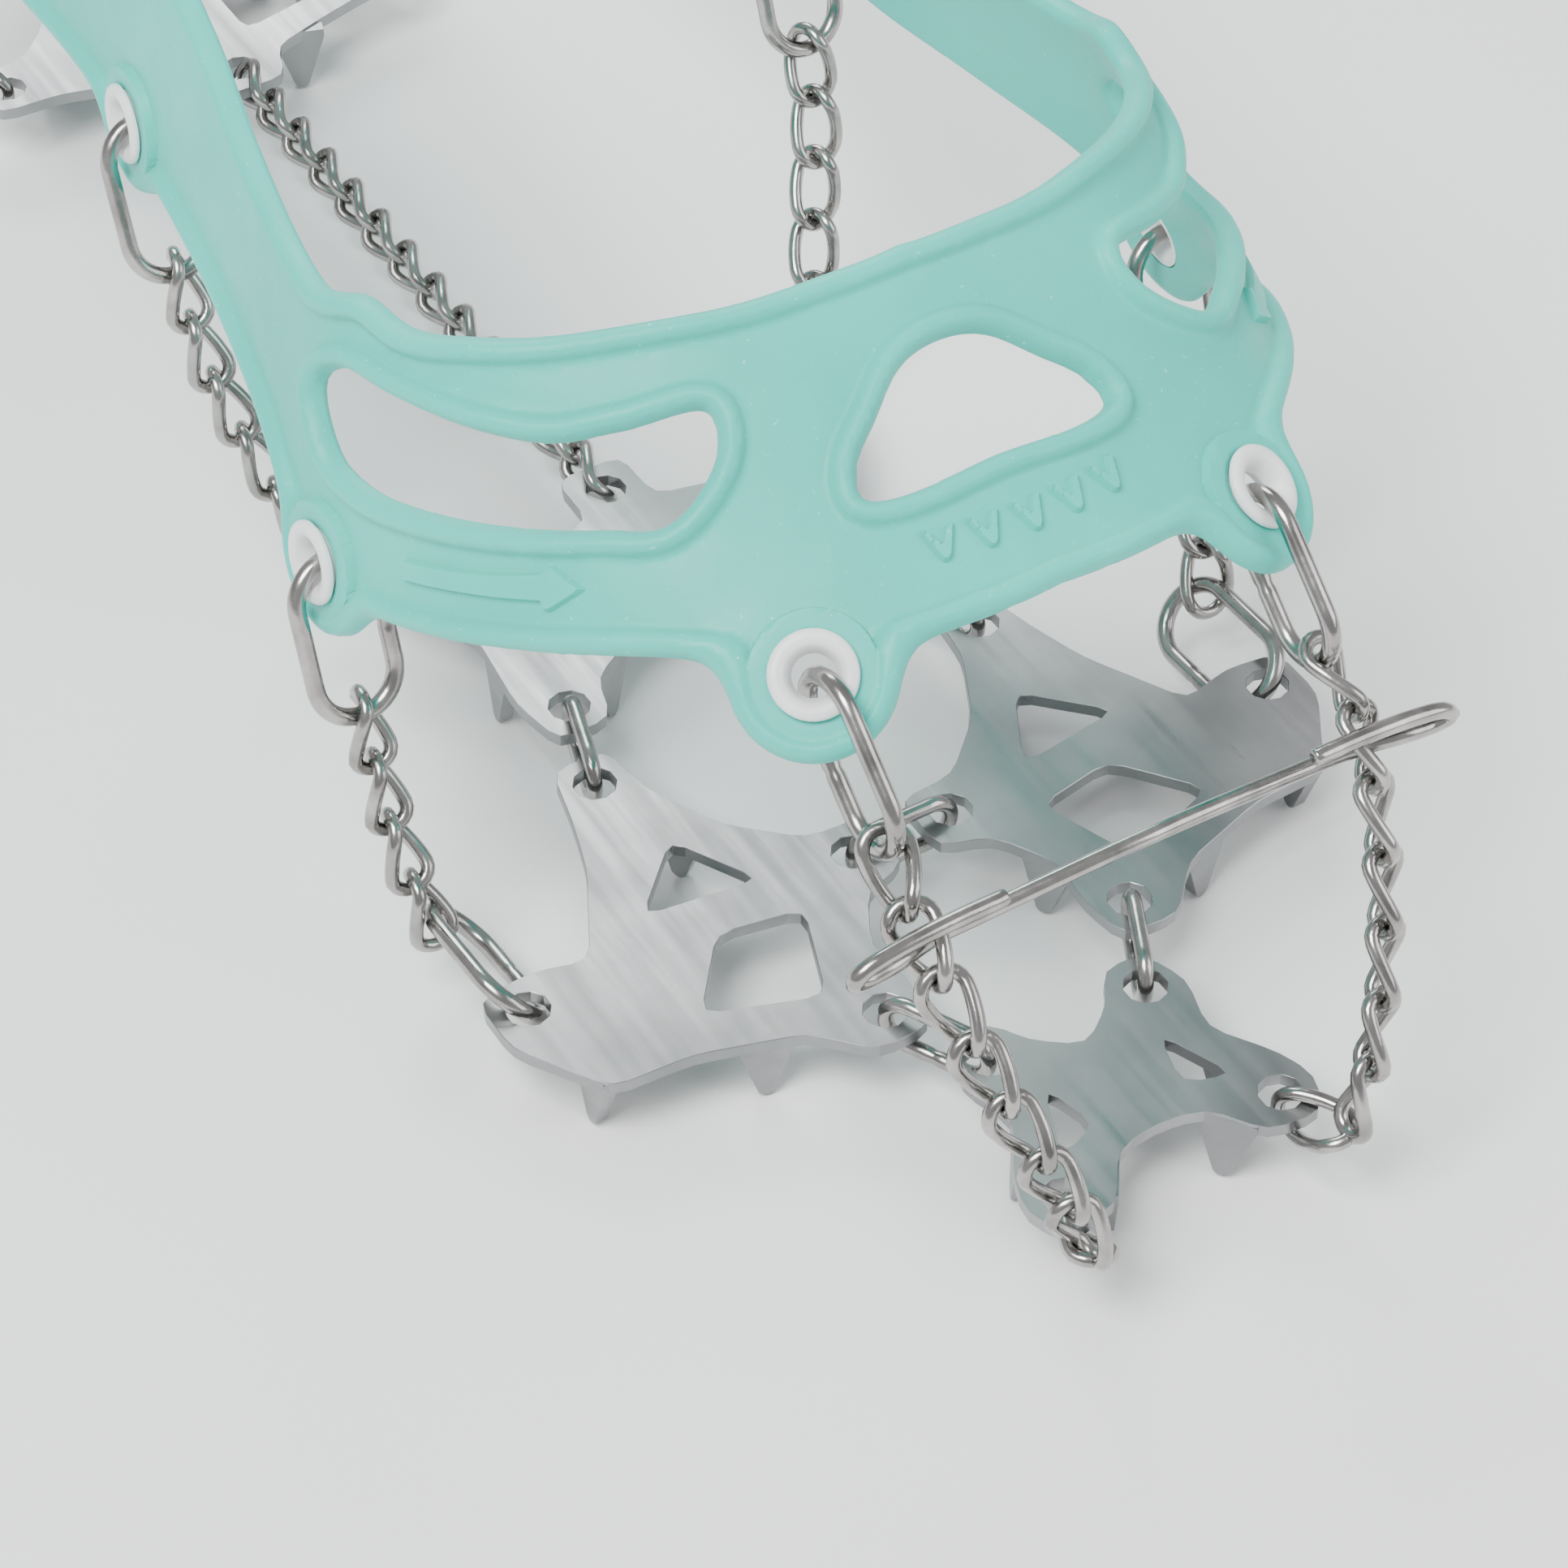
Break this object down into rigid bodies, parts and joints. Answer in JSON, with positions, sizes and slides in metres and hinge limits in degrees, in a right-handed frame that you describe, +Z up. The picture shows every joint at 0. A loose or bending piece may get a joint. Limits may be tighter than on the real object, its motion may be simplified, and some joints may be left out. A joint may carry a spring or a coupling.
{
  "type": "shoe ice cleats",
  "caption": "Stretch harness for a boot with oval links, short chains, a toe bar and toothed steel plates under the sole.",
  "frame": {"origin": "on the boot's sole plane, under the middle of the boot, where the boot stands in the harness", "axes": "+X to the toe, +Y to the wearer's left, +Z up"},
  "size_m": [0.3018, 0.1282, 0.126],
  "materials": {
    "harness": "matte moulded silicone",
    "grommet": "moulded nylon",
    "wire": "polished steel wire",
    "plate": "pressed stainless sheet"
  },
  "bodies": {
    "harness": {"harness": "harness", "grommet_front_right": "grommet", "grommet_front_left": "grommet", "grommet_side_right": "grommet", "grommet_side_left": "grommet", "grommet_instep_right": "grommet", "grommet_instep_left": "grommet", "grommet_heel_right": "grommet", "grommet_heel_left": "grommet"},
    "link_front_right": {"oval_link_front_right": "wire"},
    "chain_front_right": {"front_chain_right": "wire"},
    "link_front_left": {"oval_link_front_left": "wire"},
    "chain_front_left": {"front_chain_left": "wire"},
    "link_side_right": {"oval_link_side_right": "wire"},
    "chain_side_right": {"side_chain_right": "wire"},
    "link_side_left": {"oval_link_side_left": "wire"},
    "chain_side_left": {"side_chain_left": "wire"},
    "link_instep_right": {"oval_link_instep_right": "wire"},
    "chain_instep_right": {"instep_chain_right": "wire"},
    "link_instep_left": {"oval_link_instep_left": "wire"},
    "chain_instep_left": {"instep_chain_left": "wire"},
    "link_heel_right": {"oval_link_heel_right": "wire"},
    "chain_heel_right": {"heel_chain_right": "wire"},
    "link_heel_left": {"oval_link_heel_left": "wire"},
    "chain_heel_left": {"heel_chain_left": "wire"},
    "chain_toe_right": {"toe_chain_right": "wire"},
    "sole_link_right": {"sole_link_right": "wire"},
    "plate_ball_right": {"ball_plate_right": "plate"},
    "join_toe_right": {"toe_join_link_right": "wire"},
    "join_arch_right": {"arch_join_link_right": "wire"},
    "chain_toe_left": {"toe_chain_left": "wire"},
    "sole_link_left": {"sole_link_left": "wire"},
    "plate_ball_left": {"ball_plate_left": "plate"},
    "join_toe_left": {"toe_join_link_left": "wire"},
    "join_arch_left": {"arch_join_link_left": "wire"},
    "toe_bar": {"toe_bar": "wire"},
    "plate_toe": {"toe_plate": "plate"},
    "plate_arch": {"arch_plate": "plate"},
    "plate_heel": {"heel_plate": "plate"},
    "join_ball": {"ball_join_link": "wire"},
    "chain_centre": {"centre_chain": "wire"}
  },
  "joints": [
    {"name": "front_link_right_swing", "type": "hinge", "parent": "harness", "child": "link_front_right", "pos_m": [0.11387, -0.02845, 0.05634], "axis": [0, -1, 0], "range_deg": [0, 8]},
    {"name": "front_chain_right_swing", "type": "hinge", "parent": "link_front_right", "child": "chain_front_right", "pos_m": [0.12548, -0.02845, 0.04668], "axis": [0, -1, 0], "range_deg": [-11.2, 0.5]},
    {"name": "toe_chain_right_swing", "type": "hinge", "parent": "chain_front_right", "child": "chain_toe_right", "pos_m": [0.1523, -0.02, 0.0085], "axis": [0, -1, 0], "range_deg": [-0.5, 5.6]},
    {"name": "side_link_right_swing", "type": "hinge", "parent": "harness", "child": "link_side_right", "pos_m": [0.05457, -0.05787, 0.04047], "axis": [-0.9427, -0.0517, -0.3296], "range_deg": [0, 7]},
    {"name": "side_chain_right_swing", "type": "hinge", "parent": "link_side_right", "child": "chain_side_right", "pos_m": [0.05956, -0.05787, 0.02621], "axis": [-0.9427, -0.0517, -0.3296], "range_deg": [-10.9, 0.5]},
    {"name": "instep_link_right_swing", "type": "hinge", "parent": "harness", "child": "link_instep_right", "pos_m": [-0.01672, -0.046, 0.05104], "axis": [-0.9321, 0.0428, -0.3597], "range_deg": [0, 8]},
    {"name": "instep_chain_right_swing", "type": "hinge", "parent": "link_instep_right", "child": "chain_instep_right", "pos_m": [-0.01129, -0.046, 0.03695], "axis": [-0.9321, 0.0428, -0.3597], "range_deg": [-11, 0.5]},
    {"name": "heel_link_right_swing", "type": "hinge", "parent": "harness", "child": "link_heel_right", "pos_m": [-0.11719, -0.03944, 0.03907], "axis": [-0.8824, 0.4621, -0.0887], "range_deg": [0, 5]},
    {"name": "heel_chain_right_swing", "type": "hinge", "parent": "link_heel_right", "child": "chain_heel_right", "pos_m": [-0.11568, -0.03944, 0.02405], "axis": [-0.8824, 0.4621, -0.0887], "range_deg": [-7.9, 0.5]},
    {"name": "front_link_left_swing", "type": "hinge", "parent": "harness", "child": "link_front_left", "pos_m": [0.11387, 0.02845, 0.05634], "axis": [0, -1, 0], "range_deg": [0, 8]},
    {"name": "front_chain_left_swing", "type": "hinge", "parent": "link_front_left", "child": "chain_front_left", "pos_m": [0.12548, 0.02845, 0.04668], "axis": [0, -1, 0], "range_deg": [-11.2, 0.5]},
    {"name": "toe_chain_left_swing", "type": "hinge", "parent": "chain_front_left", "child": "chain_toe_left", "pos_m": [0.1523, 0.02, 0.0085], "axis": [0, -1, 0], "range_deg": [-0.5, 5.6]},
    {"name": "side_link_left_swing", "type": "hinge", "parent": "harness", "child": "link_side_left", "pos_m": [0.05457, 0.05787, 0.04047], "axis": [0.9427, -0.0517, 0.3296], "range_deg": [0, 7]},
    {"name": "side_chain_left_swing", "type": "hinge", "parent": "link_side_left", "child": "chain_side_left", "pos_m": [0.05956, 0.05787, 0.02621], "axis": [0.9427, -0.0517, 0.3296], "range_deg": [-10.9, 0.5]},
    {"name": "instep_link_left_swing", "type": "hinge", "parent": "harness", "child": "link_instep_left", "pos_m": [-0.01672, 0.046, 0.05104], "axis": [0.9321, 0.0428, 0.3597], "range_deg": [0, 8]},
    {"name": "instep_chain_left_swing", "type": "hinge", "parent": "link_instep_left", "child": "chain_instep_left", "pos_m": [-0.01129, 0.046, 0.03695], "axis": [0.9321, 0.0428, 0.3597], "range_deg": [-11, 0.5]},
    {"name": "heel_link_left_swing", "type": "hinge", "parent": "harness", "child": "link_heel_left", "pos_m": [-0.11719, 0.03944, 0.03907], "axis": [0.8824, 0.4621, 0.0887], "range_deg": [0, 5]},
    {"name": "heel_chain_left_swing", "type": "hinge", "parent": "link_heel_left", "child": "chain_heel_left", "pos_m": [-0.11568, 0.03944, 0.02405], "axis": [0.8824, 0.4621, 0.0887], "range_deg": [-7.9, 0.5]},
    {"name": "toe_bar_tilt", "type": "hinge", "parent": "chain_front_right", "child": "toe_bar", "pos_m": [0.13347, -0.02923, 0.03994], "axis": [0, 1, 0], "range_deg": [-5, 5]},
    {"name": "ball_plate_right_rock", "type": "hinge", "parent": "harness", "child": "plate_ball_right", "pos_m": [0.085, -0.029, -0.0014], "axis": [1, 0, 0], "range_deg": [-0.8, 0.8]},
    {"name": "sole_link_right_swing", "type": "hinge", "parent": "plate_ball_right", "child": "sole_link_right", "pos_m": [0.088, -0.053, -0.0014], "axis": [0, 0, 1], "range_deg": [0, 2]},
    {"name": "toe_join_link_right_swing", "type": "hinge", "parent": "plate_ball_right", "child": "join_toe_right", "pos_m": [0.1095, -0.0173, -0.0014], "axis": [0, 0, 1], "range_deg": [-4, 4]},
    {"name": "arch_join_link_right_swing", "type": "hinge", "parent": "plate_ball_right", "child": "join_arch_right", "pos_m": [0.06, -0.028, -0.0014], "axis": [0, 0, 1], "range_deg": [-4, 4]},
    {"name": "ball_plate_left_rock", "type": "hinge", "parent": "harness", "child": "plate_ball_left", "pos_m": [0.085, 0.029, -0.0014], "axis": [1, 0, 0], "range_deg": [-0.8, 0.8]},
    {"name": "sole_link_left_swing", "type": "hinge", "parent": "plate_ball_left", "child": "sole_link_left", "pos_m": [0.088, 0.053, -0.0014], "axis": [0, 0, 1], "range_deg": [-2, 0]},
    {"name": "toe_join_link_left_swing", "type": "hinge", "parent": "plate_ball_left", "child": "join_toe_left", "pos_m": [0.1095, 0.0173, -0.0014], "axis": [0, 0, 1], "range_deg": [-4, 4]},
    {"name": "arch_join_link_left_swing", "type": "hinge", "parent": "plate_ball_left", "child": "join_arch_left", "pos_m": [0.06, 0.028, -0.0014], "axis": [0, 0, 1], "range_deg": [-4, 4]},
    {"name": "ball_join_link_swing", "type": "hinge", "parent": "plate_ball_right", "child": "join_ball", "pos_m": [0.086, -0.007, -0.0014], "axis": [0, 0, 1], "range_deg": [-4, 4]},
    {"name": "toe_plate_rock", "type": "hinge", "parent": "harness", "child": "plate_toe", "pos_m": [0.132, 0, -0.0014], "axis": [1, 0, 0], "range_deg": [-1.5, 1.5]},
    {"name": "arch_plate_rock", "type": "hinge", "parent": "harness", "child": "plate_arch", "pos_m": [0.028, 0, -0.0014], "axis": [1, 0, 0], "range_deg": [-0.3, 0.3]},
    {"name": "heel_plate_rock", "type": "hinge", "parent": "harness", "child": "plate_heel", "pos_m": [-0.11, 0, -0.0014], "axis": [1, 0, 0], "range_deg": [-0.5, 0.5]},
    {"name": "centre_chain_twist", "type": "hinge", "parent": "plate_arch", "child": "chain_centre", "pos_m": [0.014, 0, -0.0014], "axis": [1, 0, 0], "range_deg": [-10, 10]}
  ],
  "couplings": [
    {"joint": "front_chain_right_swing", "follows": "front_link_right_swing", "ratio": -1.3323},
    {"joint": "toe_chain_right_swing", "follows": "front_link_right_swing", "ratio": 0.6391},
    {"joint": "side_chain_right_swing", "follows": "side_link_right_swing", "ratio": -1.4786},
    {"joint": "instep_chain_right_swing", "follows": "instep_link_right_swing", "ratio": -1.3114},
    {"joint": "heel_chain_right_swing", "follows": "heel_link_right_swing", "ratio": -1.481},
    {"joint": "front_link_left_swing", "follows": "front_link_right_swing", "ratio": 1},
    {"joint": "front_chain_left_swing", "follows": "front_link_right_swing", "ratio": -1.3323},
    {"joint": "toe_chain_left_swing", "follows": "front_link_right_swing", "ratio": 0.6391},
    {"joint": "side_chain_left_swing", "follows": "side_link_left_swing", "ratio": -1.4786},
    {"joint": "instep_chain_left_swing", "follows": "instep_link_left_swing", "ratio": -1.3114},
    {"joint": "heel_chain_left_swing", "follows": "heel_link_left_swing", "ratio": -1.481}
  ]
}
